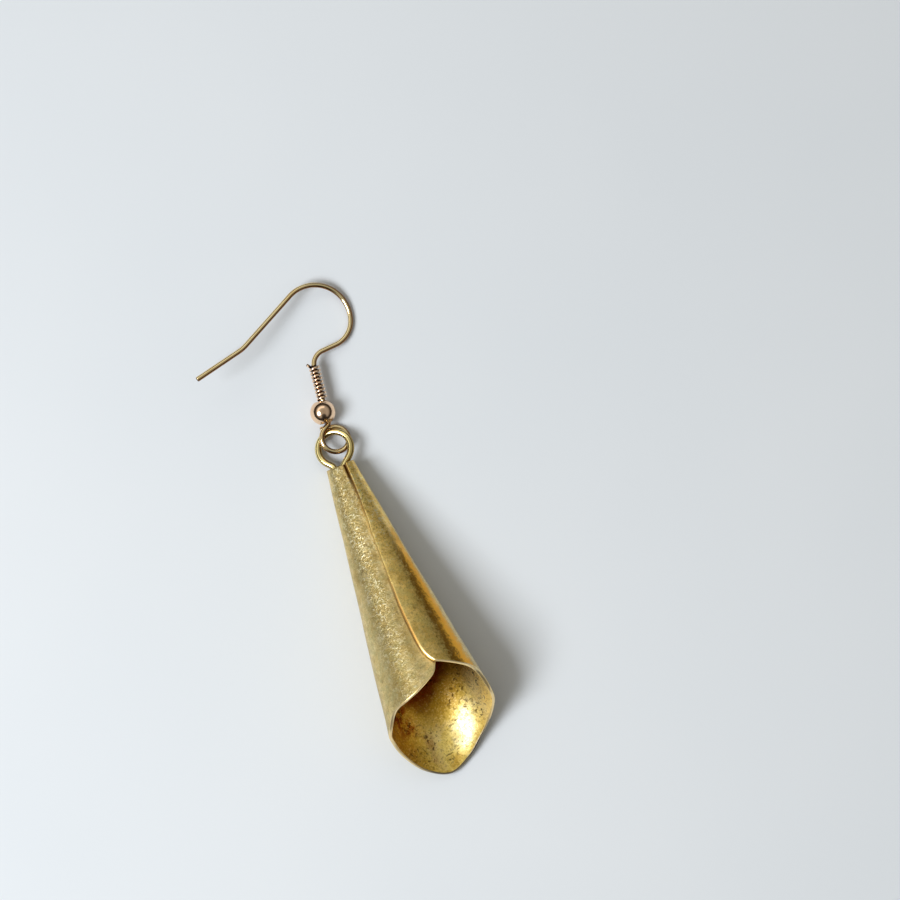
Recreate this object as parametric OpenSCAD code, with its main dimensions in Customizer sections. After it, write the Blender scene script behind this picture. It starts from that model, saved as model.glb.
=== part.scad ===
// Cone earring: a rolled sheet-brass cone that hangs by a wire eye from an ear wire with a bead and a coil.
// It lies on a flat surface as it would by itself, on the cone's underside, the bead and the hook's bulge.
// The cone's mouth points towards -Y, the hook towards +Y, and +Z is up. All sizes are in millimetres.

/* [Cone sheet] */
// Thickness of the rolled sheet
sheet_t = 0.4; // [0.3:0.05:0.5]
// Angle between the cone's axis and its side, in degrees
half_angle = 8.9; // [8.5:0.1:9.5]
// Distance from the apex to the middle of the narrow end, along the sheet
neck_reach = 10.4; // [9.5:0.1:11]
// How much further down the narrow end starts on top than below
neck_slope = 0.4; // [0:0.1:0.8]
// How far the outer flap laps over the inner one, in degrees
lap_angle = 25; // [15:1:35]
// Clear space between the two flaps
lap_gap = 0.06; // [0.03:0.01:0.15]
// Half the width of the flattened strip that the cone rests on, in degrees
rest_half_angle = 10; // [6:1:14]

/* [Cone eye] */
// Diameter of the eye's wire
eye_wire_d = 0.8; // [0.7:0.05:0.85]
// How far the eye is turned about the cone's axis, right side up, in degrees
eye_turn = 13; // [8:1:16]
// How far the legs reach into the cone
eye_leg_depth = 4; // [3:0.5:6]

/* [Ear wire] */
// Diameter of the ear wire
ear_wire_d = 0.6; // [0.55:0.05:0.65]
// Height of the ear wire's axis inside the bead
shank_height = 1.41; // [1.38:0.01:1.5]
// Turn of the ear wire about the vertical, in degrees
shank_heading = -7.1; // [-12:0.1:0]
// Lean of the ear wire about its shank, left side up, in degrees
shank_roll = 14.5; // [13.5:0.1:15]
// Rise of the shank from the bead to the hook, in degrees
shank_rise = 2; // [1.5:0.5:3]

/* [Bead] */
// Diameter of the bead
bead_d = 3; // [2.8:0.1:3]
// Diameter of the hole through the bead
bead_bore_d = 1.4; // [1.4:0.05:1.6]
// How far the bead sags to the left of the shank
bead_sag = 0.35; // [0.2:0.05:0.35]

/* [Wire coil] */
// Diameter of the coil's wire
coil_wire_d = 0.34; // [0.3:0.02:0.4]
// Distance from one turn to the next
coil_pitch = 0.445; // [0.42:0.005:0.5]
// Number of turns
coil_turns = 9; // [8:1:10]
// Length of the cut end that stands off the top turn
coil_tail = 0.6; // [0.4:0.1:1]

/* [Hidden] */

// Where the cone's apex and the middle of the shank lie, seen from above
apex_xy = [1.7, 18.6];
shank_xy = apex_xy + [0.88, -3.71];

// Outline of the sheet at the mouth.
// Columns: angle round the cone, from its top over the right side and round to the top, reach from the apex
MOUTH = [
    [10, 37.6],
    [24, 38.2],
    [40, 38.9],
    [60, 39.7],
    [74, 40.7],
    [90, 42.4],
    [120, 44.0],
    [145, 45.7],
    [170, 47.6],
    [192, 48.5],
    [215, 47.4],
    [240, 45.2],
    [262, 43.4],
    [285, 42.8],
    [308, 41.2],
    [330, 40.8],
    [345, 40.35],
    [360, 39.6],
    [371, 38.8],
    [377, 37.7],
    [385, 36.8],
    [400, 36.2]
];

// Edge of the outer flap.
// Columns: share of the way from the narrow end to the mouth, angle round the cone from its top
SEAM = [
    [0, 20],
    [0.1, 17],
    [0.25, 11.5],
    [0.4, 6],
    [0.7, 2.4],
    [0.85, 3.6],
    [0.93, 5.6],
    [0.97, 9],
    [1, 14]
];

// Bends of the wires, from the start of each wire to its end.
// Columns: straight run, roll about the wire, radius of the bend, bend to the left in degrees
HOOK_BENDS = [
    [5.4, 0, 1.8, -79],
    [1.8, 0, 3.2, 68],
    [0, 0, 4.2, 135],
    [8, 0, 4.5, -14],
    [6, 0, 0, 0]
];
LOOP_BENDS = [
    [1.1, 0, 0.5, -52],
    [0.6, 0, 1.65, 165],
    [0, -15, 1.55, 154],
    [1.4, 0, 0, 0]
];
EYE_BENDS = [
    [4, 0, 0.8, 34],
    [0.6, 0, 2, -273],
    [1.25, 0, 0.55, 54],
    [3.2, 0, 0, 0]
];
// Where the eye's first leg ends inside the cone, and which way it sets off
eye_start_x = -0.26;
eye_start_angle = 6.5;
// How much fuller a wire is where two of its stretches meet
joint_extra = 0.02;
// How far the bead's centre lies from the start of the shank
bead_up = 0.1;
// Clear space between the ear wire and the coil wound on it
coil_clearance = 0.03;
// Where the coil starts on the shank, where round the shank it ends, and how steeply its cut end rises
coil_bottom = 1.63;
coil_end_angle = 225;
coil_tail_rise = 0.6;

// Facets: round the cone and along it, round the coil and round its wire
sheet_columns = 66;
sheet_rows = 20;
coil_steps = 20;
coil_sides = 8;
// Facets of the round solids: a wire, a bend of a wire, the bead
wire_facets = 48;
bend_facets = 96;
bead_facets = 64;

// Angles of the rolled sheet: how far it wraps, where the middle of its seam lies, where the seam meets the
// mouth, and over how much of the turn the outer flap comes down to the cone
wrap_angle = 360 + lap_angle;
seam_middle = 8;
corner_angle = SEAM[len(SEAM) - 1][1];
blend_angle = 60;
outer_lift = sheet_t + lap_gap;

// Lean of the cone's axis when the flat strip lies on the floor
rest_tilt = atan(tan(half_angle) * cos(rest_half_angle));

coil_radius = ear_wire_d / 2 + coil_clearance + coil_wire_d / 2;

// Value of a two-column table at x, on a smooth curve through its rows
function row_below(table, x) = max([for (i = [0:len(table) - 2]) if (i == 0 || x >= table[i][0]) i]);
function slope_at(table, i) =
    let (a = table[max(i - 1, 0)], b = table[min(i + 1, len(table) - 1)])
    (b[1] - a[1]) / (b[0] - a[0]);
function curve_at(table, x) =
    let (
        i = row_below(table, x),
        p = table[i],
        q = table[i + 1],
        step = q[0] - p[0],
        s = (x - p[0]) / step
    )
    p[1] * (2 * s^3 - 3 * s^2 + 1) + q[1] * (3 * s^2 - 2 * s^3)
    + slope_at(table, i) * step * (s^3 - 2 * s^2 + s)
    + slope_at(table, i + 1) * step * (s^3 - s^2);

// Smooth step from 0 to 1 as x goes from 0 to 1
function ease(x) = let (s = min(max(x, 0), 1)) s * s * (3 - 2 * s);

// Angle of a point of the sheet: u is 0 on the outer flap's edge and 1 on the inner flap's
function sheet_angle(u, edge) = edge + u * (wrap_angle - edge + seam_middle);

// How far the sheet's outer face stands off the cone, because the outer flap rides on the inner one
function sheet_lift(u) = outer_lift * (1 - ease((u * wrap_angle - lap_angle) / blend_angle));

// Distance from the apex, v is 0 at the narrow end and 1 at the mouth
function sheet_reach(u, v) =
    let (
        rim_angle = sheet_angle(u, corner_angle),
        start = neck_reach + neck_slope * cos(rim_angle)
    )
    start + v * (curve_at(MOUTH, rim_angle) - start);

// A point on the cone about the Z axis, apex at the origin, with the resting strip cut flat
function flat_factor(angle) =
    let (off = abs(abs((angle + 720) % 360 - 180)))
    off < rest_half_angle ? cos(rest_half_angle) / cos(off) : 1;
function cone_point(angle, reach, lift) =
    let (
        radius = reach * sin(half_angle) * flat_factor(angle) + lift * cos(half_angle),
        height = reach * cos(half_angle) - lift * sin(half_angle)
    )
    [radius * sin(angle), radius * cos(angle), height];
function sheet_point(u, v, depth) =
    cone_point(sheet_angle(u, curve_at(SEAM, v)), sheet_reach(u, v), sheet_lift(u) - depth);

// The rolled sheet, as two faces joined along their four edges. Its columns run from the inner flap's
// edge to the outer flap's.
module rolled_sheet() {
    columns = sheet_columns;
    rows = sheet_rows;
    width = columns + 1;
    side = width * (rows + 1);
    points = [
        for (depth = [0, sheet_t])
            for (j = [0:rows])
                for (i = [0:columns])
                    sheet_point(1 - i / columns, j / rows, depth)
    ];
    function at(i, j, face) = face * side + j * width + i;
    outer = [
        for (j = [0:rows - 1])
            for (i = [0:columns - 1])
                each [
                    [at(i, j, 0), at(i, j + 1, 0), at(i + 1, j + 1, 0)],
                    [at(i, j, 0), at(i + 1, j + 1, 0), at(i + 1, j, 0)]
                ]
    ];
    inner = [
        for (j = [0:rows - 1])
            for (i = [0:columns - 1])
                each [
                    [at(i, j, 1), at(i + 1, j + 1, 1), at(i, j + 1, 1)],
                    [at(i, j, 1), at(i + 1, j, 1), at(i + 1, j + 1, 1)]
                ]
    ];
    flap_edges = [
        for (j = [0:rows - 1])
            each [
                [at(0, j, 0), at(0, j, 1), at(0, j + 1, 1)],
                [at(0, j, 0), at(0, j + 1, 1), at(0, j + 1, 0)],
                [at(columns, j, 0), at(columns, j + 1, 1), at(columns, j, 1)],
                [at(columns, j, 0), at(columns, j + 1, 0), at(columns, j + 1, 1)]
            ]
    ];
    end_edges = [
        for (i = [0:columns - 1])
            each [
                [at(i, 0, 0), at(i + 1, 0, 0), at(i + 1, 0, 1)],
                [at(i, 0, 0), at(i + 1, 0, 1), at(i, 0, 1)],
                [at(i, rows, 0), at(i + 1, rows, 1), at(i + 1, rows, 0)],
                [at(i, rows, 0), at(i, rows, 1), at(i + 1, rows, 1)]
            ]
    ];
    polyhedron(points = points, faces = concat(outer, inner, flap_edges, end_edges), convexity = 10);
}

// A wire that starts along +Y and follows its rows of bends. A ball, a hair fuller than the wire,
// closes each place where two of its stretches meet.
module bent_wire(wire_d, bends, row = 0) {
    run = bends[row][0];
    roll = bends[row][1];
    radius = bends[row][2];
    bend = bends[row][3];
    centre_x = bend > 0 ? -radius : radius;
    rotate([0, roll, 0]) {
        if (run > 0)
            rotate([-90, 0, 0])
                cylinder(h = run, d = wire_d, $fn = wire_facets);
        if (bend != 0)
            translate([centre_x, run, 0])
                rotate([0, 0, bend > 0 ? 0 : 180 + bend])
                    rotate_extrude(angle = abs(bend), $fn = bend_facets)
                        translate([radius, 0])
                            circle(d = wire_d, $fn = wire_facets);
        if (run > 0 && bend != 0)
            translate([0, run, 0])
                sphere(d = wire_d + joint_extra, $fn = wire_facets);
        if (row + 1 < len(bends))
            translate([centre_x, run, 0])
                rotate([0, 0, bend])
                    translate([-centre_x, 0, 0]) {
                        sphere(d = wire_d + joint_extra, $fn = wire_facets);
                        bent_wire(wire_d, bends, row + 1);
                    }
    }
}

// Frame of the cone: its axis along +Z, laid down so that the resting strip lies on the floor
module on_cone() {
    translate([apex_xy[0], apex_xy[1], 0])
        rotate([90 - rest_tilt, 0, 0])
            children();
}

// Frame of the ear wire: origin beside the bead's centre, the shank along +Y, +Z up out of its plane
module on_shank() {
    translate([shank_xy[0], shank_xy[1], shank_height])
        rotate([shank_rise, shank_roll, shank_heading])
            children();
}

// Brass sheet rolled to a cone, the right flap over the left one
module cone_shell() {
    color("darkkhaki")
        on_cone()
            rolled_sheet();
}

// Drop-shaped wire eye, its two legs held inside the narrow end
module cone_eye() {
    color("goldenrod")
        on_cone()
            translate([0, 0, neck_reach * cos(half_angle)])
                rotate([-90, 0, 0])
                    rotate([0, -eye_turn, 0])
                        translate([eye_start_x, -eye_leg_depth, 0])
                            rotate([0, 0, eye_start_angle])
                                bent_wire(eye_wire_d, EYE_BENDS);
}

// The ear wire in one piece: the hook above the bead and the loop that holds the eye below it
module ear_hook() {
    color("gold")
        on_shank() {
            bent_wire(ear_wire_d, HOOK_BENDS);
            rotate([0, 0, 180])
                bent_wire(ear_wire_d, LOOP_BENDS);
            sphere(d = ear_wire_d + joint_extra, $fn = wire_facets);
        }
}

// Fine wire wound round the shank above the bead, its upper end cut and standing off
function coil_point(turn) =
    let (angle = coil_end_angle - 360 * (turn - coil_turns))
    [coil_radius * cos(angle), coil_bottom + coil_pitch * turn, coil_radius * sin(angle)];
module wire_coil() {
    steps = coil_turns * coil_steps;
    last = coil_point(coil_turns);
    tail_way = [sin(coil_end_angle), coil_tail_rise, -cos(coil_end_angle)];
    path = concat(
        [for (k = [0:steps]) coil_point(k / coil_steps)],
        [last + tail_way * coil_tail]
    );
    count = len(path);
    points = [
        for (k = [0:count - 1])
            let (
                before = path[max(k - 1, 0)],
                after = path[min(k + 1, count - 1)],
                along = (after - before) / norm(after - before),
                out_raw = [path[min(k, steps)][0], 0, path[min(k, steps)][2]],
                out_flat = out_raw - along * (out_raw * along),
                out = out_flat / norm(out_flat),
                up = cross(along, out)
            )
            for (s = [0:coil_sides - 1])
                path[k] + coil_wire_d / 2 * (out * cos(360 * s / coil_sides) + up * sin(360 * s / coil_sides))
    ];
    walls = [
        for (k = [0:count - 2])
            for (s = [0:coil_sides - 1])
                let (
                    a = k * coil_sides + s,
                    b = k * coil_sides + (s + 1) % coil_sides
                )
                each [[a, b + coil_sides, b], [a, a + coil_sides, b + coil_sides]]
    ];
    ends = [
        [for (s = [0:coil_sides - 1]) s],
        [for (s = [coil_sides - 1:-1:0]) (count - 1) * coil_sides + s]
    ];
    color("peru")
        on_shank()
            polyhedron(points = points, faces = concat(walls, ends), convexity = 10);
}

// Polished bead, drilled wider than the ear wire and resting against it
module bead() {
    color("rosybrown")
        on_shank()
            translate([-bead_sag, bead_up, 0])
                difference() {
                    sphere(d = bead_d, $fn = bead_facets);
                    rotate([90, 0, 0])
                        cylinder(h = 2 * bead_d, d = bead_bore_d, center = true, $fn = bead_facets);
                }
}

cone_shell();
cone_eye();
ear_hook();
wire_coil();
bead();
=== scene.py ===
from math import atan, ceil, cos, pi, radians, sin, tan

import bmesh
import bpy
from mathutils import Matrix, Vector, noise


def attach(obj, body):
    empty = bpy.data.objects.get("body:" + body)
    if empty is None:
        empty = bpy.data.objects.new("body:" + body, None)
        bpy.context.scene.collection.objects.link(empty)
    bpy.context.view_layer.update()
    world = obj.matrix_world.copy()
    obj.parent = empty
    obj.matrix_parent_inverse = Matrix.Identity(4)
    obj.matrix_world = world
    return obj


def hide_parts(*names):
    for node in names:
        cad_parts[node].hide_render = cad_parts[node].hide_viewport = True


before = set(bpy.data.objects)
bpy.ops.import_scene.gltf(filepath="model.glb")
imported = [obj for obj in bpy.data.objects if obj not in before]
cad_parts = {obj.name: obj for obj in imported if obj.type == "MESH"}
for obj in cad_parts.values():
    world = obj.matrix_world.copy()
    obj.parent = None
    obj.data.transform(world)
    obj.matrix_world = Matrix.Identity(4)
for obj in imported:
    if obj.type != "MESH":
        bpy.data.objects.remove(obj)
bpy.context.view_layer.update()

# Lengths below are in millimetres and angles in degrees. Each finished mesh is scaled to metres.
MM = 0.001

# Where the cone's apex lies on the floor, and where the ear wire's shank starts inside the bead
APEX = Vector((1.7, 18.6, 0))
SHANK = APEX + Vector((0.88, -3.71, 1.41))

# Sheet of the cone: its narrow end slants to both sides of its reach, and the lap is counted from the
# seam's middle angle. The outer flap comes down from over the inner one along the blend.
SHEET_T = 0.4
HALF_ANGLE = 8.9
NECK_REACH = 10.4
NECK_SLOPE = 0.4
LAP_ANGLE = 25
LAP_GAP = 0.06
SEAM_MIDDLE = 8
BLEND_ANGLE = 60
WRAP_ANGLE = 360 + LAP_ANGLE
OUTER_LIFT = SHEET_T + LAP_GAP

# The strip under the cone, pressed down on the floor, and how the axis tilts to bring it there
REST_HALF_ANGLE = 10
PRESSED_ANGLE = 42
REST_TILT = atan(tan(radians(HALF_ANGLE)) * cos(radians(REST_HALF_ANGLE))) * 180 / pi

# Edges of the sheet: their rounding, the width of the outermost cells, and the filed corner along the
# seam, its width and depth given at the neck and at the mouth, and bare from this far off the apex on
EDGE_ROUNDING = 0.09
EDGE_CELL = 0.25
ON_EDGE = 0.001
FILED_WIDTH = (0.12, 0.27)
FILED_DEPTH = (0.06, 0.22)
BRIGHT_FROM = 27
FAR_FROM_SEAM = 50

# Wear of the sheet: its lip curled up off the floor, and shallow dents that spare the pressed strip
LIP_CURL = 0.5
LIP_LENGTH = 2.4
LIP_ANGLE = 75
DENT_DEPTH = 0.1
DENT_SCALE = 0.16
DENT_FADE_ANGLE = 25

# Outline of the sheet at the mouth: angle from the cone's top over its right side, reach from the apex
MOUTH = [
    (10, 37.6),
    (24, 38.2),
    (40, 38.9),
    (60, 39.7),
    (74, 40.7),
    (90, 42.4),
    (120, 44.0),
    (145, 45.7),
    (170, 47.6),
    (192, 48.5),
    (215, 47.4),
    (240, 45.2),
    (262, 43.4),
    (285, 42.8),
    (308, 41.2),
    (330, 40.8),
    (345, 40.35),
    (360, 39.6),
    (371, 38.8),
    (377, 37.7),
    (385, 36.8),
    (400, 36.2),
]

# Edge of the outer flap: share of the way from the narrow end to the mouth, angle round the cone
SEAM = [
    (0, 20),
    (0.1, 17),
    (0.25, 11.5),
    (0.4, 6),
    (0.7, 2.4),
    (0.85, 3.6),
    (0.93, 5.6),
    (0.97, 9),
    (1, 14),
]

# Bends of the wires: straight run, roll about the wire, radius of the bend, bend to the left
HOOK_BENDS = [(5.4, 0, 1.8, -79), (1.8, 0, 3.2, 68), (0, 0, 4.2, 135), (8, 0, 4.5, -14), (6, 0, 0, 0)]
LOOP_BENDS = [(1.1, 0, 0.5, -52), (0.6, 0, 1.65, 165), (0, -15, 1.55, 154), (1.4, 0, 0, 0)]
EYE_BENDS = [(4, 0, 0.8, 34), (0.6, 0, 2, -273), (1.25, 0, 0.55, 54), (3.2, 0, 0, 0)]

# Wires, bead and coil, with the eye placed from the middle of the narrow end and the rest on the shank
EAR_WIRE_D = 0.6
EYE_WIRE_D = 0.8
EYE_TURN = 13
EYE_LEG_DEPTH = 4
EYE_START_X = -0.26
EYE_START_ANGLE = 6.5
SHANK_TURN = (2, 14.5, -7.1)
BEAD_D = 3
BEAD_BORE_D = 1.4
BEAD_SAG = 0.35
BEAD_UP = 0.1
HOLE_ROUNDING = 0.09
COIL_WIRE_D = 0.34
COIL_PITCH = 0.445
COIL_TURNS = 9
COIL_BOTTOM = 1.63
COIL_END_ANGLE = 225
COIL_CLEARANCE = 0.03
COIL_TAIL_BENDS = [(0, 0, 0.45, 22), (0.42, 0, 0, 0)]

# Rounding of a cut wire end: steps along the wire, as shares of its diameter, and how each narrows it
CUT_STEPS = [(0.04, 0.985), (0.04, 0.95), (0.03, 0.88), (0.01, 0.7)]

# The way that the wires' lit side faces, as right, up and height in the picture, and how far a
# normal agrees with it where the lit side ends and where the painted shade of the far side begins
LIT_SIDE = (-0.42, 0.25, 0.87)
LIT_UNTIL = 0.80
PAINTED_SHADE_FROM = 0.50

# Material slots on the meshes: the wires' cut ends, and the inside and the edges of the sheet
CUT_SLOT = 1
INSIDE_SLOT = 1
EDGE_SLOT = 2

# Fineness of the meshes, and the angle from which an edge counts as sharp
SHEET_COLUMNS = 210
SHEET_ROWS = 112
WIRE_SIDES = 32
COIL_SIDES = 18
COIL_STEPS = 40
BEAD_SIDES = 96
BEAD_STEPS = 56
BEND_STEP = 3
ROUNDING_STEPS = 4
RIM_ANGLE = 50

# The photograph's view of the earring: the camera's distance and its angle over the floor, the turn of
# the picture against the cone's axis, where its middle falls on the floor, and its scale
VIEW_DISTANCE = 600
VIEW_ELEVATION = 85
PICTURE_TURN = 22.204
PICTURE_MIDDLE = APEX + Vector((12.75, -13.2, 0))
PICTURE_PX = 900
PX_PER_MM = 8.5
SENSOR_W = 36

# The studio: the floor, in metres and with a hair of space under the earring, the window's light, and
# the dark shapes in the room, each with how near a direction comes to it where it starts and where it
# is full. Places and directions are given as right, up and height in the picture.
FLOOR_SIZE = 4.0
FLOOR_GAP = 0.02
WINDOW_PLACE = (-280, -125, 370)
WINDOW_FACES = (-6, 0, 0)
WINDOW_SIZE = 210
WINDOW_POWER = 1.85
WINDOW_COLOUR = (0.96, 1.0, 1.05)
DARK_SHAPES = [((0.2, -0.62, 0.76), 0.90, 0.975), ((0.25, -0.93, 0.3), 0.80, 0.95)]


def turned(angle, axis):
    return Matrix.Rotation(radians(angle), 4, axis)


def shifted(x, y, z):
    return Matrix.Translation((x, y, z))


LIT_WAY = (turned(-PICTURE_TURN, "Z") @ Vector(LIT_SIDE)).normalized()
ON_CONE = Matrix.Translation(APEX) @ turned(90 - REST_TILT, "X")
SHANK_WAY = turned(SHANK_TURN[2], "Z") @ turned(SHANK_TURN[1], "Y") @ turned(SHANK_TURN[0], "X")
ON_SHANK = Matrix.Translation(SHANK) @ SHANK_WAY


def curve_at(table, x):
    """Value of a two-column table at x, on a smooth curve through its rows."""
    last = len(table) - 1
    i = max([k for k in range(last) if x >= table[k][0]], default=0)

    def slope(k):
        before, after = table[max(k - 1, 0)], table[min(k + 1, last)]
        return (after[1] - before[1]) / (after[0] - before[0])

    (x0, y0), (x1, y1) = table[i], table[i + 1]
    step = x1 - x0
    s = (x - x0) / step
    return (
        y0 * (2 * s**3 - 3 * s**2 + 1)
        + y1 * (3 * s**2 - 2 * s**3)
        + slope(i) * step * (s**3 - 2 * s**2 + s)
        + slope(i + 1) * step * (s**3 - s**2)
    )


def ease(x):
    """Goes from 0 to 1 as x does, smoothly at both ends."""
    s = min(max(x, 0), 1)
    return s * s * (3 - 2 * s)


def grown(ends, share):
    """Value that grows from the first end to the last, slowly at first."""
    return ends[0] + (ends[1] - ends[0]) * share**3


def sheet_angle(u, edge):
    """Angle round the cone: u is 0 on the outer flap's edge and 1 on the inner flap's."""
    return edge + u * (WRAP_ANGLE - edge + SEAM_MIDDLE)


def sheet_lift(u):
    """How far the sheet is lifted off the cone, so that the outer flap clears the inner one."""
    return OUTER_LIFT * (1 - ease((u * WRAP_ANGLE - LAP_ANGLE) / BLEND_ANGLE))


def sheet_reach(u, v):
    """Distance from the apex: v is 0 at the narrow end and 1 at the mouth."""
    rim_angle = sheet_angle(u, SEAM[-1][1])
    start = NECK_REACH + NECK_SLOPE * cos(radians(rim_angle))
    return start + v * (curve_at(MOUTH, rim_angle) - start)


def past_flap(angle, reach):
    """How far a point of the inner flap lies past the outer flap's edge, or past its rim."""
    start, rim = sheet_reach(0, 0), sheet_reach(0, 1)
    from_edge = 360 + curve_at(SEAM, min((reach - start) / (rim - start), 1)) - angle
    return max(radians(from_edge) * reach * sin(radians(HALF_ANGLE)), reach - rim)


def from_floor(angle):
    """Angle round the cone from the line that it rests on."""
    return abs(abs((angle + 720) % 360 - 180))


def flat_factor(angle):
    """Share of the cone's radius left where the sheet is pressed down on the floor, with no crease."""
    press = 1 - cos(radians(REST_HALF_ANGLE))
    off = min(from_floor(angle) / PRESSED_ANGLE, 1)
    return 1 - press * (1 + cos(pi * off)) / 2


def widened(share, cells, first, last):
    """Shifts a row of grid points so that its outermost cells leave room to round the sheet's edges."""
    k = round(share * cells)
    return k / cells if k in (0, cells) else first + (1 - first - last) * (k - 1) / (cells - 2)


def lip_curl(angle, to_rim):
    """How far the rim is curled up off the floor where the cone rests on it."""
    near_rim = max(1 - to_rim / LIP_LENGTH, 0) ** 2
    near_floor = (1 + cos(pi * min(from_floor(angle) / LIP_ANGLE, 1))) / 2
    return LIP_CURL * near_rim * near_floor


def cone_point(angle, reach, lift):
    """A point of the rolled sheet, with the apex at the origin and the axis along Z."""
    radius = reach * sin(radians(HALF_ANGLE)) * flat_factor(angle) + lift * cos(radians(HALF_ANGLE))
    height = reach * cos(radians(HALF_ANGLE)) - lift * sin(radians(HALF_ANGLE))
    return Vector((radius * sin(radians(angle)), radius * cos(radians(angle)), height))


def edges_in(geometry):
    return [g for g in geometry if isinstance(g, bmesh.types.BMEdge)]


def verts_in(geometry):
    return [g for g in geometry if isinstance(g, bmesh.types.BMVert)]


def middle_of(edges):
    """The middle of a ring of edges."""
    verts = list(dict.fromkeys(v for e in edges for v in e.verts))
    return sum((v.co for v in verts), Vector()) / len(verts)


def round_rims(bm, rounding, slot=-1):
    """Rounds the sharp edges, and gives the rounding a material slot of its own if one is named."""
    shared = [e for e in bm.edges if len(e.link_faces) == 2]
    rims = [e for e in shared if e.calc_face_angle() > radians(RIM_ANGLE)]
    bmesh.ops.bevel(
        bm,
        geom=rims,
        offset=rounding,
        offset_type="OFFSET",
        segments=ROUNDING_STEPS,
        profile=0.5,
        affect="EDGES",
        material=slot,
    )


def finish_piece(bm, name, replaced, materials):
    """Scales a mesh made in millimetres to metres, and makes it the piece that stands for a node."""
    bmesh.ops.recalc_face_normals(bm, faces=bm.faces[:])
    if bm.calc_volume(signed=True) < 0:
        bmesh.ops.reverse_faces(bm, faces=bm.faces[:])
    bm.normal_update()
    # Painted shade: a mask that darkens the side of each wire turned away from the window
    side_layer = bm.verts.layers.float.new("side")
    for vert in bm.verts:
        off_lit = LIT_UNTIL - vert.normal.dot(LIT_WAY)
        vert[side_layer] = ease(off_lit / (LIT_UNTIL - PAINTED_SHADE_FROM))
    bmesh.ops.scale(bm, vec=(MM, MM, MM), verts=bm.verts[:])
    for face in bm.faces:
        face.smooth = True
    mesh = bpy.data.meshes.new(name)
    bm.to_mesh(mesh)
    bm.free()
    piece = bpy.data.objects.new(name, mesh)
    bpy.context.scene.collection.objects.link(piece)
    for material in materials:
        mesh.materials.append(material)
    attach(piece, "root")
    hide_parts(replaced)


# Wires, drawn as one ring that is pushed and spun along its bends


def push_ring(bm, edges, way, scale=1.0):
    """Extrudes a ring of the wire by a straight step and returns the new ring."""
    out = bmesh.ops.extrude_edge_only(bm, edges=edges)["geom"]
    ring = edges_in(out)
    bmesh.ops.translate(bm, vec=way, verts=verts_in(out))
    if scale != 1.0:
        centre = Matrix.Translation(-middle_of(ring))
        bmesh.ops.scale(bm, vec=(scale, scale, scale), space=centre, verts=verts_in(out))
    return ring


def draw_wire(bm, ring, place, bends):
    """Draws the wire on from a ring through its rows of bends. Returns the last ring and its place."""
    for run, roll, radius, bend in bends:
        place = place @ turned(roll, "Y")
        if run:
            ring = push_ring(bm, ring, place.to_3x3() @ Vector((0, run, 0)))
            place = place @ shifted(0, run, 0)
        if bend:
            centre_x = -radius if bend > 0 else radius
            out = bmesh.ops.spin(
                bm,
                geom=ring,
                cent=place @ Vector((centre_x, 0, 0)),
                axis=place.to_3x3() @ Vector((0, 0, 1)),
                angle=radians(bend),
                steps=ceil(abs(bend) / BEND_STEP),
            )
            ring = edges_in(out["geom_last"])
            place = place @ shifted(centre_x, 0, 0) @ turned(bend, "Z") @ shifted(-centre_x, 0, 0)
    return ring, place


def cut_end(bm, ring, way, wire_d):
    """Closes the wire with a cut end, its rim rounded by wear."""
    way = way.normalized()
    for push, scale in CUT_STEPS:
        ring = push_ring(bm, ring, way * wire_d * push, scale)
    cap = bmesh.ops.contextual_create(bm, geom=ring)["faces"]
    for face in cap + [f for e in ring for f in e.link_faces]:
        face.material_index = CUT_SLOT


def wire_ring(bm, place, wire_d, sides=WIRE_SIDES):
    """A ring of the wire across the place's own Y axis."""
    across = place @ turned(-90, "X")
    out = bmesh.ops.create_circle(bm, segments=sides, radius=wire_d / 2, matrix=across)
    return list(dict.fromkeys(e for v in out["verts"] for e in v.link_edges))


def along(place):
    """The wire's way at a place."""
    return place.to_3x3() @ Vector((0, 1, 0))


def make_cone_eye(materials):
    """The eye, one wire drawn from leg to leg, with both legs inside the cone's narrow end."""
    bm = bmesh.new()
    place = (
        ON_CONE
        @ shifted(0, 0, NECK_REACH * cos(radians(HALF_ANGLE)))
        @ turned(-90, "X")
        @ turned(-EYE_TURN, "Y")
        @ shifted(EYE_START_X, -EYE_LEG_DEPTH, 0)
        @ turned(EYE_START_ANGLE, "Z")
    )
    first = wire_ring(bm, place, EYE_WIRE_D)
    last, end = draw_wire(bm, first, place, EYE_BENDS)
    cut_end(bm, first, -along(place), EYE_WIRE_D)
    cut_end(bm, last, along(end), EYE_WIRE_D)
    finish_piece(bm, "cone_eye_wire", "cone_eye", materials)


def make_ear_hook(materials):
    """The hook and the turned loop, drawn both ways from one ring inside the bead."""
    bm = bmesh.new()
    middle = wire_ring(bm, ON_SHANK, EAR_WIRE_D)
    tip, tip_place = draw_wire(bm, middle, ON_SHANK, HOOK_BENDS)
    tail, tail_place = draw_wire(bm, middle, ON_SHANK @ turned(180, "Z"), LOOP_BENDS)
    cut_end(bm, tip, along(tip_place), EAR_WIRE_D)
    cut_end(bm, tail, along(tail_place), EAR_WIRE_D)
    finish_piece(bm, "ear_hook_wire", "ear_hook", materials)


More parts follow.
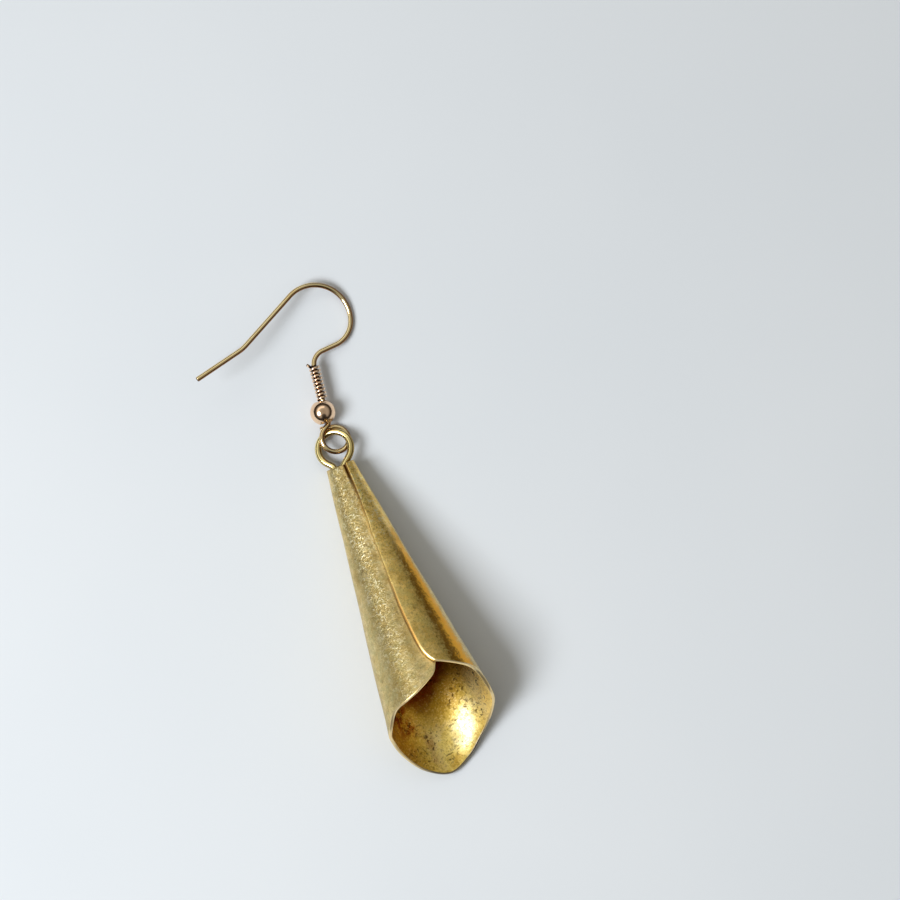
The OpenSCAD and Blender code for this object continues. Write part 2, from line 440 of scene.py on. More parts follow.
def make_wire_coil(materials):
    """The fine wire wound round the shank: a ring spun and raised, then its cut end bent away."""
    bm = bmesh.new()
    radius = EAR_WIRE_D / 2 + COIL_CLEARANCE + COIL_WIRE_D / 2
    start_angle = COIL_END_ANGLE + 360 * COIL_TURNS
    climb = atan(COIL_PITCH / (2 * pi * radius)) * 180 / pi

    def coil_place(angle, height):
        """On the coil at this angle: X outwards, Y along the wire, Z down the shank."""
        round_shank = ON_SHANK @ shifted(0, height, 0) @ turned(-angle, "Y")
        return round_shank @ shifted(radius, 0, 0) @ turned(-90, "X")

    start = coil_place(start_angle, COIL_BOTTOM) @ turned(climb, "X")
    first = wire_ring(bm, start, COIL_WIRE_D, COIL_SIDES)
    out = bmesh.ops.spin(
        bm,
        geom=first,
        cent=ON_SHANK @ Vector((0, COIL_BOTTOM, 0)),
        axis=along(ON_SHANK),
        dvec=along(ON_SHANK) * COIL_PITCH / COIL_STEPS,
        angle=radians(360 * COIL_TURNS),
        steps=COIL_TURNS * COIL_STEPS,
    )
    last = edges_in(out["geom_last"])
    end = coil_place(COIL_END_ANGLE, COIL_BOTTOM + COIL_PITCH * COIL_TURNS) @ turned(climb, "X")
    tail, tail_place = draw_wire(bm, last, end @ turned(90, "Y"), COIL_TAIL_BENDS)
    cut_end(bm, first, -along(start), COIL_WIRE_D)
    cut_end(bm, tail, along(tail_place), COIL_WIRE_D)
    groove_layer = bm.verts.layers.float.new("groove")
    to_shank = ON_SHANK.inverted()
    for vert in bm.verts:
        x, _, z = to_shank @ vert.co
        out_of_groove = ((x * x + z * z) ** 0.5 - radius) / COIL_WIRE_D + 0.5
        vert[groove_layer] = 1 - min(max(out_of_groove, 0), 1)
    finish_piece(bm, "wire_coil_wound", "wire_coil", materials)


def make_bead(materials):
    """The drilled bead: its outline from hole to hole, closed by the hole's wall and spun round it."""
    bm = bmesh.new()
    radius = BEAD_D / 2
    hole = BEAD_BORE_D / 2
    hole_angle = atan(hole / (radius**2 - hole**2) ** 0.5)
    start = bm.verts.new((hole, -radius * cos(hole_angle), 0))
    out = bmesh.ops.spin(
        bm,
        geom=[start],
        cent=(0, 0, 0),
        axis=(0, 0, 1),
        angle=pi - 2 * hole_angle,
        steps=BEAD_STEPS,
    )
    end = verts_in(out["geom_last"])[0]
    bm.edges.new((end, start))
    bmesh.ops.spin(
        bm,
        geom=bm.verts[:] + bm.edges[:],
        cent=(0, 0, 0),
        axis=(0, 1, 0),
        angle=2 * pi,
        steps=BEAD_SIDES,
        use_merge=True,
    )
    round_rims(bm, HOLE_ROUNDING)
    bmesh.ops.transform(bm, matrix=ON_SHANK @ shifted(-BEAD_SAG, BEAD_UP, 0), verts=bm.verts[:])
    finish_piece(bm, "bead_polished", "bead", materials)


def file_seam_edge(bm):
    """Files down the top corner of the flap's edge, which shows as a bright line along the seam."""
    top_corner = set()
    for face in bm.faces:
        centre = face.calc_center_median()
        along_turn = Vector((centre.y, -centre.x, 0)).normalized()
        if face.material_index == EDGE_SLOT and face.normal.dot(along_turn) < -0.5:
            top_corner |= {v for v in face.verts if v.co.xy.length > centre.xy.length}
    highest, lowest = max(v.co.z for v in top_corner), min(v.co.z for v in top_corner)
    for vert in top_corner:
        share = (vert.co.z - lowest) / (highest - lowest)
        kept = 1 - grown(FILED_DEPTH, share) / vert.co.xy.length
        vert.co = Vector((vert.co.x * kept, vert.co.y * kept, vert.co.z))
        for face in vert.link_faces:
            if vert.co.z > BRIGHT_FROM:
                face.material_index = EDGE_SLOT
    bm.normal_update()


def make_cone_shell(materials):
    """The sheet, a flat grid rolled up, dented a little by hand, thickened and rounded at its edges."""
    bm = bmesh.new()
    bmesh.ops.create_grid(bm, x_segments=SHEET_COLUMNS, y_segments=SHEET_ROWS, size=0.5)
    turn_layer = bm.verts.layers.float.new("turn")
    edge_layer = bm.verts.layers.float.new("edge_mm")
    seam_layer = bm.verts.layers.float.new("seam_mm")
    for vert in bm.verts:
        u, v = vert.co.x + 0.5, vert.co.y + 0.5
        length = sheet_reach(u, 1) - sheet_reach(u, 0)
        v = widened(v, SHEET_ROWS, EDGE_CELL / length, EDGE_CELL / length)
        girth = radians(WRAP_ANGLE) * sheet_reach(u, v) * sin(radians(HALF_ANGLE))
        filed = grown(FILED_WIDTH, v)
        u = widened(u, SHEET_COLUMNS, filed / girth, EDGE_CELL / girth)
        angle = sheet_angle(u, curve_at(SEAM, v))
        reach = sheet_reach(u, v)
        vert.co = cone_point(angle, reach, sheet_lift(u) - lip_curl(angle, (1 - v) * length))
        vert[turn_layer] = angle
        vert[seam_layer] = past_flap(angle, reach) if u > 0.5 else FAR_FROM_SEAM
        vert[edge_layer] = min(u * girth, (1 - u) * girth, v * length, (1 - v) * length)
    bmesh.ops.recalc_face_normals(bm, faces=bm.faces[:])
    bm.normal_update()
    outside = sum(f.normal.dot(f.calc_center_median() * Vector((1, 1, 0))) for f in bm.faces)
    if outside < 0:
        bmesh.ops.reverse_faces(bm, faces=bm.faces[:])
        bm.normal_update()
    for vert in bm.verts:
        free = ease((from_floor(vert[turn_layer]) - REST_HALF_ANGLE) / DENT_FADE_ANGLE)
        vert.co += vert.normal * free * DENT_DEPTH * noise.noise(vert.co * DENT_SCALE)
    bmesh.ops.solidify(bm, geom=bm.faces[:], thickness=SHEET_T)
    bm.normal_update()
    for face in bm.faces:
        centre = face.calc_center_median()
        facing = face.normal.dot(Vector((centre.x, centre.y, 0)).normalized())
        on_edge = all(v[edge_layer] < ON_EDGE for v in face.verts)
        face.material_index = EDGE_SLOT if on_edge else INSIDE_SLOT if facing < 0 else 0
    file_seam_edge(bm)
    round_rims(bm, EDGE_ROUNDING, EDGE_SLOT)
    bmesh.ops.transform(bm, matrix=ON_CONE, verts=bm.verts[:])
    finish_piece(bm, "cone_rolled_sheet", "cone_shell", materials)


# Materials


def new_material(name):
    """A material, its node tree and its shader."""
    material = bpy.data.materials.new(name)
    material.use_nodes = True
    return material, material.node_tree, material.node_tree.nodes["Principled BSDF"]


def node(tree, kind, values=None, **settings):
    """Adds a node, with its settings, and with sockets either set to a value or joined to a socket."""
    made = tree.nodes.new(kind)
    for key, value in settings.items():
        setattr(made, key, value)
    for key, value in (values or {}).items():
        if isinstance(value, bpy.types.NodeSocket):
            tree.links.new(value, made.inputs[key])
        else:
            made.inputs[key].default_value = value
    return made


def group_of(name, inputs, outputs):
    """An empty node group with named inputs (kind, name, value) and outputs (kind, name)."""
    tree = bpy.data.node_groups.new(name, "ShaderNodeTree")
    for kind, label, value in inputs:
        socket = tree.interface.new_socket(label, in_out="INPUT", socket_type=kind)
        if value is not None:
            socket.default_value = value
    for kind, label in outputs:
        tree.interface.new_socket(label, in_out="OUTPUT", socket_type=kind)
    return tree, tree.nodes.new("NodeGroupInput").outputs, tree.nodes.new("NodeGroupOutput").inputs


def ramp(tree, value, stops):
    """A colour ramp through (position, colour) stops."""
    made = node(tree, "ShaderNodeValToRGB", {"Fac": value})
    while len(made.color_ramp.elements) < len(stops):
        made.color_ramp.elements.new(0.5)
    for element, (position, colour) in zip(made.color_ramp.elements, stops):
        element.position = position
        element.color = (*colour, 1)
    return made.outputs["Color"]


def mixed(tree, factor, a, b, blend="MIX"):
    """Mixes two colours. The node's sockets for colours share their names, so they go by number."""
    made = node(tree, "ShaderNodeMix", {0: factor, 6: a, 7: b}, data_type="RGBA", blend_type=blend)
    return made.outputs[2]


def calculated(tree, operation, a, b=0.0, clamp=False):
    made = node(tree, "ShaderNodeMath", {0: a, 1: b}, operation=operation, use_clamp=clamp)
    return made.outputs[0]


def times(tree, a, b, clamp=False):
    return calculated(tree, "MULTIPLY", a, b, clamp)


def plus(tree, a, b):
    return calculated(tree, "ADD", a, b)


def minus(tree, a, b, clamp=False):
    return calculated(tree, "SUBTRACT", a, b, clamp)


def larger(tree, a, b):
    return calculated(tree, "MAXIMUM", a, b)


def band(tree, value, low, high, to_low=0.0, to_high=1.0):
    """Maps value from low..high to to_low..to_high, smoothly, and holds it outside."""
    made = node(
        tree,
        "ShaderNodeMapRange",
        {"Value": value, "From Min": low, "From Max": high, "To Min": to_low, "To Max": to_high},
        interpolation_type="SMOOTHSTEP",
    )
    return made.outputs["Result"]


def grain(tree, place, scale, detail, roughness, distortion=0.0):
    """Noise round 0.5, its scale counted per metre."""
    values = {
        "Vector": place,
        "Scale": scale,
        "Detail": detail,
        "Roughness": roughness,
        "Distortion": distortion,
    }
    return node(tree, "ShaderNodeTexNoise", values).outputs["Fac"]


def shaken(tree, noise_value, amount):
    """Noise made into a shift to both sides of nothing."""
    return times(tree, minus(tree, noise_value, 0.5), amount)


def make_wear_group():
    """Tarnish, fine rubbed grain and handling marks, for every wire and the bead."""
    tree, given, wanted = group_of(
        "handled_metal",
        [
            ("NodeSocketVector", "Place", None),
            ("NodeSocketColor", "Bright", (1, 1, 1, 1)),
            ("NodeSocketColor", "Dull", (0.5, 0.5, 0.5, 1)),
            ("NodeSocketFloat", "Dull share", 0.3),
            ("NodeSocketFloat", "Low roughness", 0.1),
            ("NodeSocketFloat", "High roughness", 0.3),
            ("NodeSocketFloat", "Mark scale", 1800.0),
        ],
        [("NodeSocketColor", "Color"), ("NodeSocketFloat", "Roughness"), ("NodeSocketFloat", "Marks")],
    )
    place, scale = given["Place"], given["Mark scale"]
    blotches = grain(tree, place, times(tree, scale, 0.25), 3.0, 0.55)
    marks = grain(tree, place, scale, 5.0, 0.65)
    dull = times(tree, band(tree, blotches, 0.38, 0.68), given["Dull share"])
    tree.links.new(mixed(tree, dull, given["Bright"], given["Dull"]), wanted["Color"])
    mean = plus(tree, times(tree, marks, 0.5), times(tree, blotches, 0.5))
    share = band(tree, mean, 0.35, 0.65)
    rough = node(
        tree,
        "ShaderNodeMapRange",
        {"Value": share, "To Min": given["Low roughness"], "To Max": given["High roughness"]},
    )
    tree.links.new(rough.outputs["Result"], wanted["Roughness"])
    tree.links.new(marks, wanted["Marks"])
    return tree


def make_pits_group():
    """Small dark pits and scratches that gather in clusters."""
    tree, given, wanted = group_of(
        "pits_and_scratches",
        [
            ("NodeSocketVector", "Place", None),
            ("NodeSocketFloat", "Pit scale", 900.0),
            ("NodeSocketFloat", "Cluster scale", 160.0),
            ("NodeSocketFloat", "Cluster share", 0.5),
        ],
        [("NodeSocketFloat", "Pits")],
    )
    place = given["Place"]
    clusters = grain(tree, place, given["Cluster scale"], 2.0, 0.5)
    cluster_edge = minus(tree, 0.62, times(tree, given["Cluster share"], 0.3))
    gathered = band(tree, clusters, cluster_edge, 0.72)
    pits = grain(tree, place, given["Pit scale"], 2.0, 0.5, 0.3)
    dark = band(tree, pits, 0.57, 0.62)
    tree.links.new(times(tree, dark, gathered, True), wanted["Pits"])
    return tree


WEAR = make_wear_group()
PITS = make_pits_group()


def place_of(tree):
    """The place on a piece, in metres from the earring's own origin."""
    return node(tree, "ShaderNodeTexCoord").outputs["Object"]


def bump(tree, height, strength, distance, normal=None):
    values = {"Height": height, "Strength": strength, "Distance": distance}
    if normal is not None:
        values["Normal"] = normal
    return node(tree, "ShaderNodeBump", values).outputs["Normal"]


def metal(name, bright, dull, dull_share, roughness, mark_scale, mark_depth):
    """Handled metal: bright and dull patches, rubbed grain, and small marks, their depth in mm."""
    material, tree, shader = new_material(name)
    values = {
        "Place": place_of(tree),
        "Bright": (*bright, 1),
        "Dull": (*dull, 1),
        "Dull share": dull_share,
        "Low roughness": roughness[0],
        "High roughness": roughness[1],
        "Mark scale": mark_scale,
    }
    worn = node(tree, "ShaderNodeGroup", values, node_tree=WEAR)
    shader.inputs["Metallic"].default_value = 1.0
    tree.links.new(worn.outputs["Color"], shader.inputs["Base Color"])
    tree.links.new(worn.outputs["Roughness"], shader.inputs["Roughness"])
    tree.links.new(bump(tree, worn.outputs["Marks"], 0.35, mark_depth * MM), shader.inputs["Normal"])
    return material


def pitted(tree, place, pit_scale, cluster_scale, cluster_share):
    """1 in a pit or scratch and 0 outside."""
    values = {
        "Place": place,
        "Pit scale": pit_scale,
        "Cluster scale": cluster_scale,
        "Cluster share": cluster_share,
    }
    return node(tree, "ShaderNodeGroup", values, node_tree=PITS).outputs["Pits"]


def attribute(tree, name):
    """A value that the mesh carries at each of its vertices."""
    return node(tree, "ShaderNodeAttribute", attribute_name=name).outputs["Fac"]


def y_of(tree, place):
    """How far up a place lies, in metres: -0.0165 at the mouth's corner and 0.008 at the neck."""
    return node(tree, "ShaderNodeSeparateXYZ", {0: place}).outputs["Y"]


def lacquer(shader, weight, roughness, normal):
    """A thin clear coat, which gives the brass its white highlights and pale outlines."""
    shader.inputs["Coat Roughness"].default_value = roughness
    shader.id_data.links.new(weight, shader.inputs["Coat Weight"])
    shader.id_data.links.new(normal, shader.inputs["Coat Normal"])


def near(tree, value, middle, inner, outer):
    """1 where value is within inner of the middle, fading to 0 at outer."""
    off = calculated(tree, "ABSOLUTE", minus(tree, value, middle))
    return band(tree, off, inner, outer, 1.0, 0.0)


# Streak along the outside's right, partly patina and partly a painted reflection of the shaded floor,
# from its darker edge to its brighter one
DARK_STREAK = (0.26, 0.12, 0.003, 1)
BRIGHT_STREAK = (0.88, 0.44, 0.03, 1)

# Painted light and shade, as paler and darker stretches of the outside by side of the cone: the turn at
# their middle, how far to each side they are full and where they have faded out, between which places
# along the cone they set in, and their tone
OUTSIDE_PAINTED_LIGHT = [
    (50, 26, 62, None, (1.40, 1.34, 1.02)),
    (376, 10, 22, None, (1.5, 1.5, 1.55)),
    (353, 10, 26, (-0.0115, -0.0165), (1.08, 1.1, 1.14)),
    (337, 18, 42, None, (0.78, 0.79, 0.83)),
    (303, 8, 26, (-0.006, -0.014), (1.25, 1.32, 1.5)),
]


def outer_brass():
    """The antiqued outside: straw brass, grey-green bloom, an orange streak that is partly a painted
    reflection, etched curls and painted glints.
    """
    material, tree, shader = new_material("antiqued_brass_outside")
    place = place_of(tree)
    to_neck = y_of(tree, place)
    turn, seam = attribute(tree, "turn"), attribute(tree, "seam_mm")

    patches = grain(tree, place, 520.0, 6.0, 0.68)
    bloom = band(tree, grain(tree, place, 760.0, 5.0, 0.65), 0.46, 0.60, 0.0, 0.6)
    colour = ramp(
        tree,
        patches,
        [
            (0.32, (0.50, 0.345, 0.10)),
            (0.45, (0.70, 0.51, 0.175)),
            (0.56, (0.81, 0.615, 0.245)),
            (0.68, (0.93, 0.735, 0.36)),
        ],
    )
    colour = mixed(tree, bloom, colour, (0.58, 0.49, 0.20, 1))
    towards_mouth = band(tree, to_neck, 0.006, -0.018)
    colour = mixed(tree, towards_mouth, colour, (0.80, 0.785, 0.74, 1), "MULTIPLY")
    # Painted light and shade on each stretch
    for middle, inner, outer, sets_in, painted_tone in OUTSIDE_PAINTED_LIGHT:
        painted_stretch = near(tree, turn, middle, inner, outer)
        if sets_in:
            painted_stretch = times(tree, painted_stretch, band(tree, to_neck, *sets_in))
        colour = mixed(tree, painted_stretch, colour, (*painted_tone, 1), "MULTIPLY")

    # The turn with ragged edges, for the painted pale reflection along the right side, the streak and
    # the etched stretch
    ragged = shaken(tree, grain(tree, place, 1100.0, 4.0, 0.7), 50.0)
    frayed = shaken(tree, grain(tree, place, 2400.0, 4.0, 0.75), 30.0)
    frayed = plus(tree, turn, plus(tree, frayed, times(tree, ragged, 0.3)))
    # Painted reflection: a pale line along the right side
    pale_side = times(tree, near(tree, frayed, 81.0, 7.0, 24.0), 0.6)
    colour = mixed(tree, pale_side, colour, (0.98, 0.90, 0.66, 1))
    # The streak: partly patina and partly a painted reflection of the shaded floor
    streak = near(tree, frayed, 46.0, 7.0, 21.0)
    streak = times(tree, streak, band(tree, to_neck, -0.006, 0.002, 1.0, 0.2))

    # Specks everywhere, and etched curls with painted glints on the left flap and round the neck
    specks = grain(tree, place, 4600.0, 2.0, 0.6)
    colour = mixed(tree, band(tree, specks, 0.53, 0.64, 0.0, 0.35), colour, (0.28, 0.19, 0.06, 1))
    curls = grain(tree, place, 2700.0, 3.0, 0.6, 1.2)
    left_flap = near(tree, plus(tree, turn, times(tree, ragged, 0.6)), 333.0, 8.0, 30.0)
    left_flap = times(tree, left_flap, band(tree, to_neck, -0.018, -0.002, 0.4, 1.0))
    front = larger(tree, near(tree, turn, 345.0, 30.0, 50.0), near(tree, turn, 15.0, 26.0, 48.0))
    front = times(tree, front, band(tree, to_neck, -0.009, 0.003, 0.0, 0.8))
    lit = larger(tree, left_flap, front)
    # Painted glints: pale specks on the etched curls where the light falls
    painted_glitter = times(tree, band(tree, curls, 0.54, 0.62), band(tree, lit, 0.0, 1.0, 0.1, 0.7))
    colour = mixed(tree, painted_glitter, colour, (1.0, 0.92, 0.62, 1))
    etched = times(tree, band(tree, curls, 0.46, 0.38), band(tree, lit, 0.0, 1.0, 0.15, 0.6))
    colour = mixed(tree, etched, colour, (0.26, 0.17, 0.04, 1))
    pits = times(tree, pitted(tree, place, 1900.0, 300.0, 0.4), 0.5)
    colour = mixed(tree, pits, colour, (0.16, 0.10, 0.03, 1))
    streak_tone = mixed(tree, band(tree, frayed, 39.0, 50.0), DARK_STREAK, BRIGHT_STREAK)
    colour = mixed(tree, streak, colour, streak_tone)

    # Painted shade: the dark line beside the seam, where the flaps stand open at the neck and towards
    # the mouth
    open_neck = band(tree, to_neck, 0.003, 0.0075)
    open_seam = plus(tree, open_neck, band(tree, to_neck, -0.004, -0.009, 0.0, 0.6))
    shadow_width = band(tree, to_neck, 0.001, 0.005, 0.24, 0.36)
    off_seam = calculated(tree, "DIVIDE", seam, shadow_width)
    crevice_shade = times(tree, band(tree, off_seam, 0.3, 1.0, 1.0, 0.0), open_seam)
    colour = mixed(tree, crevice_shade, colour, (0.10, 0.035, 0.005, 1))

    tree.links.new(colour, shader.inputs["Base Color"])
    shader.inputs["Metallic"].default_value = 1.0
    rough = plus(tree, band(tree, patches, 0.35, 0.65, 0.48, 0.40), times(tree, bloom, 0.1))
    rough = minus(tree, rough, times(tree, painted_glitter, 0.12))
    tree.links.new(rough, shader.inputs["Roughness"])
    tooth = bump(tree, grain(tree, place, 2700.0, 4.0, 0.8), 0.5, 0.08 * MM)
    raised = bump(tree, times(tree, curls, lit), 0.5, 0.12 * MM, tooth)
    surface = bump(tree, grain(tree, place, 800.0, 3.0, 0.55), 0.3, 0.05 * MM, raised)
    tree.links.new(surface, shader.inputs["Normal"])
    bare = minus(tree, 1.0, larger(tree, streak, crevice_shade))
    lacquer(shader, times(tree, bare, 0.2), 0.2, surface)
    return material


# Where the inside is pitted most: the turn, the distance from the rim, and how far each cluster reaches
PIT_PLACES = [
    (130, 2.4, 17, 1.9),
    (138, 6.5, 18, 3.0),
    (111, 4.9, 12, 1.8),
    (180, 2.0, 15, 1.3),
    (217, 1.7, 14, 1.5),
    (236, 5.0, 16, 2.2),
]


def inner_brass():
    """The inside: gold, brown patina with painted shade on the shaded side and deeper in, a painted
    highlight and glints, with pits, cracks and hammer marks.
    """
    material, tree, shader = new_material("rubbed_brass_inside")
    place = place_of(tree)
    turn, edge = attribute(tree, "turn"), attribute(tree, "edge_mm")

    patches = grain(tree, place, 420.0, 6.0, 0.7)
    colour = ramp(
        tree,
        patches,
        [
            (0.32, (0.60, 0.39, 0.06)),
            (0.48, (0.86, 0.66, 0.18)),
            (0.62, (1.0, 0.84, 0.40)),
        ],
    )
    # Painted light: paler on the right wall near the rim
    colour = mixed(tree, near(tree, turn, 95.0, 25.0, 50.0), colour, (1.0, 0.87, 0.46, 1))

    # Deep gold and brown, partly patina and partly painted shade deeper in and on the shaded side, with
    # ragged edges
    ragged = shaken(tree, patches, 120.0)
    depth = plus(tree, edge, times(tree, ragged, 0.05))
    around = plus(tree, turn, ragged)
    deep_gold_and_shade = larger(tree, near(tree, around, 285.0, 50.0, 100.0), band(tree, depth, 3.5, 8.0))
    colour = mixed(tree, times(tree, deep_gold_and_shade, 0.85), colour, (0.52, 0.28, 0.01, 1))
    mottled = band(tree, grain(tree, place, 1500.0, 4.0, 0.75), 0.44, 0.56, 0.25, 1.0)
    off_rim = band(tree, edge, 1.5, 4.5, 0.4, 1.0)
    shaded = times(tree, near(tree, around, 272.0, 34.0, 70.0), off_rim)
    shaded = times(tree, shaded, mottled)
    leftward = plus(tree, depth, band(tree, turn, 165.0, 215.0, 0.0, 2.2))
    # Painted shade with brown patina, on the shaded side and deeper in
    brown_patina_and_shade = larger(tree, shaded, band(tree, leftward, 8.3, 11.0))
    colour = mixed(tree, brown_patina_and_shade, colour, (0.24, 0.032, 0.0006, 1))

    # A painted highlight spot, specks and painted glints
    # Painted highlight: a pale spot where the window's highlight falls
    painted_highlight_spot = times(tree, near(tree, turn, 160.0, 3.0, 24.0), near(tree, edge, 3.0, 0.6, 3.0))
    colour = mixed(tree, times(tree, painted_highlight_spot, 0.35), colour, (1.0, 0.96, 0.80, 1))
    specks = grain(tree, place, 4300.0, 3.0, 0.7)
    colour = mixed(tree, band(tree, specks, 0.52, 0.64, 0.0, 0.5), colour, (0.30, 0.17, 0.015, 1))
    # Painted glints: pale specks, fewer on the brown
    painted_glints = times(tree, band(tree, specks, 0.44, 0.36), band(tree, brown_patina_and_shade, 0.0, 1.0, 0.4, 0.1))
    colour = mixed(tree, painted_glints, colour, (1.0, 0.84, 0.36, 1))

    # Pits in their clusters, and cracks anywhere
    gathered = 0.0
    for at_turn, at_edge, wide, deep in PIT_PLACES:
        across = near(tree, turn, at_turn, wide / 2, wide)
        cluster = times(tree, across, near(tree, edge, at_edge, deep / 2, deep))
        gathered = larger(tree, cluster, gathered)
    pits = times(tree, pitted(tree, place, 2800.0, 340.0, 1.6), gathered)
    cracks = times(tree, pitted(tree, place, 2000.0, 420.0, 0.75), 0.9)
    dark = larger(tree, pits, cracks)
    colour = mixed(tree, times(tree, dark, 0.95), colour, (0.05, 0.022, 0.006, 1))

    tree.links.new(colour, shader.inputs["Base Color"])
    shader.inputs["Metallic"].default_value = 1.0
    rough = plus(tree, band(tree, patches, 0.35, 0.65, 0.56, 0.48), times(tree, dark, 0.2))
    rough = plus(tree, rough, band(tree, edge, 4.5, 9.0, 0.0, 0.1))
    tree.links.new(rough, shader.inputs["Roughness"])
    hammered = bump(tree, grain(tree, place, 380.0, 2.0, 0.5), 1.0, 0.17 * MM)
    fine = minus(tree, grain(tree, place, 2300.0, 4.0, 0.7), times(tree, dark, 0.7))
    surface = bump(tree, fine, 0.6, 0.06 * MM, hammered)
    tree.links.new(surface, shader.inputs["Normal"])
    glossy = times(tree, near(tree, turn, 150.0, 18.0, 50.0), band(tree, edge, 3.5, 6.5, 0.65, 0.1))
    clean = minus(tree, glossy, larger(tree, brown_patina_and_shade, dark), True)
    lacquer(shader, clean, 0.1, surface)
    return material


def darken(material, mask, colour):
    """Mixes tarnish of one colour over a finished material where the mask says."""
    tree = material.node_tree
    base = tree.nodes["Principled BSDF"].inputs["Base Color"]
    tree.links.new(mixed(tree, mask, base.links[0].from_socket, (*colour, 1)), base)


def edge_brass():
    """The filed edges: bare at the mouth, orange along the seam, with painted shade at the neck and a
    painted shadow where the rim lies on the floor.
    """
    bright, dull = (1.0, 0.80, 0.44), (0.94, 0.66, 0.28)
    material = metal("bare_brass_edge", bright, dull, 0.5, (0.3, 0.42), 1800.0, 0.03)
    tree = material.node_tree
    to_neck, turn = y_of(tree, place_of(tree)), attribute(tree, "turn")
    darken(material, band(tree, to_neck, -0.0162, -0.0145, 0.0, 0.9), (0.90, 0.50, 0.12))
    darken(material, band(tree, to_neck, -0.0115, -0.0035, 0.0, 0.9), (0.60, 0.45, 0.17))
    # Painted shade at the neck, beside the dark line of the seam
    at_neck = band(tree, to_neck, 0.0, 0.005, 0.0, 0.8)
    darken(material, times(tree, near(tree, turn, 12.0, 12.0, 18.0), at_neck), (0.26, 0.12, 0.025))
    # Painted shadow where the rim lies on the floor
    darken(material, times(tree, near(tree, turn, 180.0, 25.0, 55.0), 0.85), (0.07, 0.06, 0.055))
    return material


def eye_metal():
    """The eye's brass wire, bright on the side that faces the window, with painted shade on the other.
    """
    bright, dull = (1.0, 0.84, 0.38), (0.72, 0.52, 0.17)
    material = metal("eye_brass", bright, dull, 0.45, (0.1, 0.2), 1300.0, 0.03)
    tree = material.node_tree
    # Painted shade on the side turned from the window
    darken(material, times(tree, attribute(tree, "side"), 0.75), (0.26, 0.14, 0.016))
    return material


def hook_metal():
    """The ear wire's gold, with painted shade on the side away from the window, and all round where the
    coil covers it.
    """
    bright, dull = (1.0, 0.81, 0.45), (0.72, 0.46, 0.16)
    material = metal("hook_gold", bright, dull, 0.4, (0.07, 0.15), 1500.0, 0.02)
    tree = material.node_tree
    # Painted shade on the side turned from the window
    darken(material, times(tree, attribute(tree, "side"), 0.92), (0.24, 0.085, 0.012))
    # Painted shade on the shank where the coil covers it
    coil_middle = (ON_SHANK @ Vector((0, COIL_BOTTOM + COIL_PITCH * COIL_TURNS / 2, 0))).y * MM
    half = COIL_PITCH * COIL_TURNS / 2 * MM
    painted_coil_shade = near(tree, y_of(tree, place_of(tree)), coil_middle, half, half + 0.1 * MM)
    darken(material, painted_coil_shade, (0.05, 0.02, 0.01))
    return material


def coil_metal():
    """The coil's wire, with painted shade in the grooves between its turns."""
    bright, dull = (1.0, 0.74, 0.51), (0.88, 0.56, 0.36)
    material = metal("coil_rose", bright, dull, 0.4, (0.07, 0.15), 2200.0, 0.015)
    tree = material.node_tree
    # Painted shade: dark in the grooves between the turns
    groove_shade = band(tree, attribute(tree, "groove"), 0.1, 0.36, 0.0, 0.96)
    darken(material, groove_shade, (0.06, 0.02, 0.01))
    return material


def bead_metal():
    """The bead's rose plating, polished brighter than the wires."""
    bright, dull = (0.96, 0.68, 0.45), (0.82, 0.52, 0.33)
    return metal("bead_rose", bright, dull, 0.4, (0.08, 0.15), 1600.0, 0.006)


def cut_metal():
    """The dull face where a wire was cut, darkened further as painted shade."""
    # Painted shade: the cut faces are coloured dark
    bright, dull = (0.20, 0.12, 0.06), (0.09, 0.05, 0.03)
    return metal("cut_wire_face", bright, dull, 0.6, (0.4, 0.6), 2500.0, 0.03)


def floor_paint():
    """A matt white board with the faintest tooth."""
    material, tree, shader = new_material("white_board")
    tooth = grain(tree, place_of(tree), 14.0, 3.0, 0.5)
    colour = ramp(tree, tooth, [(0.35, (0.755, 0.785, 0.81)), (0.65, (0.785, 0.81, 0.83))])
    tree.links.new(colour, shader.inputs["Base Color"])
    shader.inputs["Roughness"].default_value = 0.55
    shader.inputs["Specular IOR Level"].default_value = 0.3
    return material


CUT_FACE = cut_metal()

make_cone_shell([outer_brass(), inner_brass(), edge_brass()])
make_cone_eye([eye_metal(), CUT_FACE])
make_ear_hook([hook_metal(), CUT_FACE])
make_wire_coil([coil_metal(), CUT_FACE])
make_bead([bead_metal()])


# Studio: the floor, the camera, the room and its window, placed by right, up and height in the picture


def studio_way(right, up, height):
    """A direction given as right and up in the picture, and height over the floor."""
    return turned(-PICTURE_TURN, "Z") @ Vector((right, up, height))


def studio_point(right, up, height):
    """A point over the middle of the picture, in metres."""
    return (PICTURE_MIDDLE + studio_way(right, up, height)) * MM


def make_floor():
    bm = bmesh.new()
    bmesh.ops.create_grid(bm, x_segments=1, y_segments=1, size=FLOOR_SIZE / 2)
    bmesh.ops.translate(bm, vec=(0, 0, -FLOOR_GAP * MM), verts=bm.verts[:])
    mesh = bpy.data.meshes.new("floor")
    bm.to_mesh(mesh)
    bm.free()
    floor = bpy.data.objects.new("floor", mesh)
    bpy.context.scene.collection.objects.link(floor)
    mesh.materials.append(floor_paint())


def make_camera():
    lens = bpy.data.cameras.new("camera")
    lens.sensor_width = SENSOR_W
    lens.lens = SENSOR_W * PX_PER_MM * VIEW_DISTANCE / PICTURE_PX
    lens.clip_start = 0.01
    lens.clip_end = 20
    camera = bpy.data.objects.new("camera", lens)
    bpy.context.scene.collection.objects.link(camera)
    camera.matrix_world = (
        Matrix.Translation(studio_point(0, 0, 0))
        @ turned(-PICTURE_TURN, "Z")
        @ turned(90 - VIEW_ELEVATION, "X")
        @ Matrix.Translation((0, 0, VIEW_DISTANCE * MM))
    )
    bpy.context.scene.camera = camera


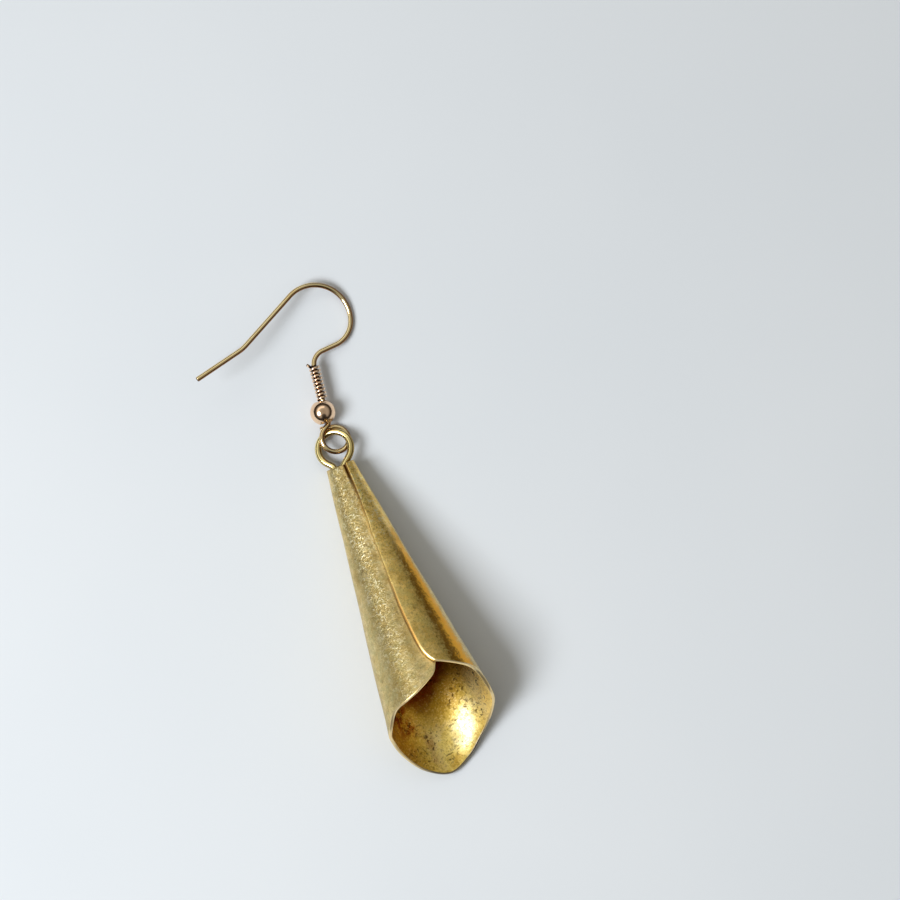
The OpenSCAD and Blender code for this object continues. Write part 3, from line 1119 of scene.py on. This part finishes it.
def make_window_light():
    """A panel of light at the picture's left, which faces the earring."""
    light = bpy.data.lights.new("window", "AREA")
    light.shape = "RECTANGLE"
    light.size = light.size_y = WINDOW_SIZE * MM
    light.energy = WINDOW_POWER
    light.color = WINDOW_COLOUR
    window = bpy.data.objects.new("window", light)
    bpy.context.scene.collection.objects.link(window)
    spot = studio_point(*WINDOW_PLACE)
    window.location = spot
    window.rotation_euler = (studio_point(*WINDOW_FACES) - spot).to_track_quat("-Z", "Y").to_euler()


def towards(tree, way, direction):
    """How far a way through the room agrees with a direction."""
    made = node(tree, "ShaderNodeVectorMath", {0: way, 1: direction}, operation="DOT_PRODUCT")
    return made.outputs["Value"]


def make_world():
    """The room: pale walls, dim low down, a bright strip of wall, and dark shapes where one stands."""
    world = bpy.data.worlds.new("room")
    bpy.context.scene.world = world
    world.use_nodes = True
    tree = world.node_tree
    tree.nodes.clear()
    way = node(tree, "ShaderNodeTexCoord").outputs["Generated"]
    up = node(tree, "ShaderNodeSeparateXYZ", {0: way}).outputs["Z"]
    room = ramp(
        tree,
        up,
        [
            (0.0, (0.022, 0.02, 0.018)),
            (0.36, (0.035, 0.03, 0.025)),
            (0.56, (0.38, 0.38, 0.365)),
            (0.8, (0.50, 0.505, 0.485)),
            (1.0, (0.37, 0.355, 0.315)),
        ],
    )
    dim_side = band(tree, towards(tree, way, studio_way(1, 0, 0)), -0.6, 0.7, 0.0, 0.25)
    room = mixed(tree, dim_side, room, (0.10, 0.09, 0.08, 1))
    strip = times(tree, band(tree, up, 0.55, 0.65), band(tree, up, 0.78, 0.88, 1.0, 0.0))
    strip = times(tree, strip, band(tree, towards(tree, way, studio_way(-0.77, 0.64, 0)), 0.15, 0.35))
    room = mixed(tree, strip, room, (1.1, 1.07, 1.0, 1))
    for direction, starts, full in DARK_SHAPES:
        toward = towards(tree, way, studio_way(*direction).normalized())
        shape = band(tree, toward, starts, full, 0.0, 0.92)
        room = mixed(tree, shape, room, (0.02, 0.017, 0.015, 1))
    seen = node(tree, "ShaderNodeLightPath").outputs["Is Camera Ray"]
    shown = mixed(tree, seen, room, (0.72, 0.76, 0.79, 1))
    background = node(tree, "ShaderNodeBackground", {"Color": shown, "Strength": 1.0})
    out = node(tree, "ShaderNodeOutputWorld")
    tree.links.new(background.outputs[0], out.inputs[0])


make_floor()
make_camera()
make_world()
make_window_light()
bpy.context.scene.view_settings.view_transform = "Standard"
bpy.context.scene.view_settings.look = "None"
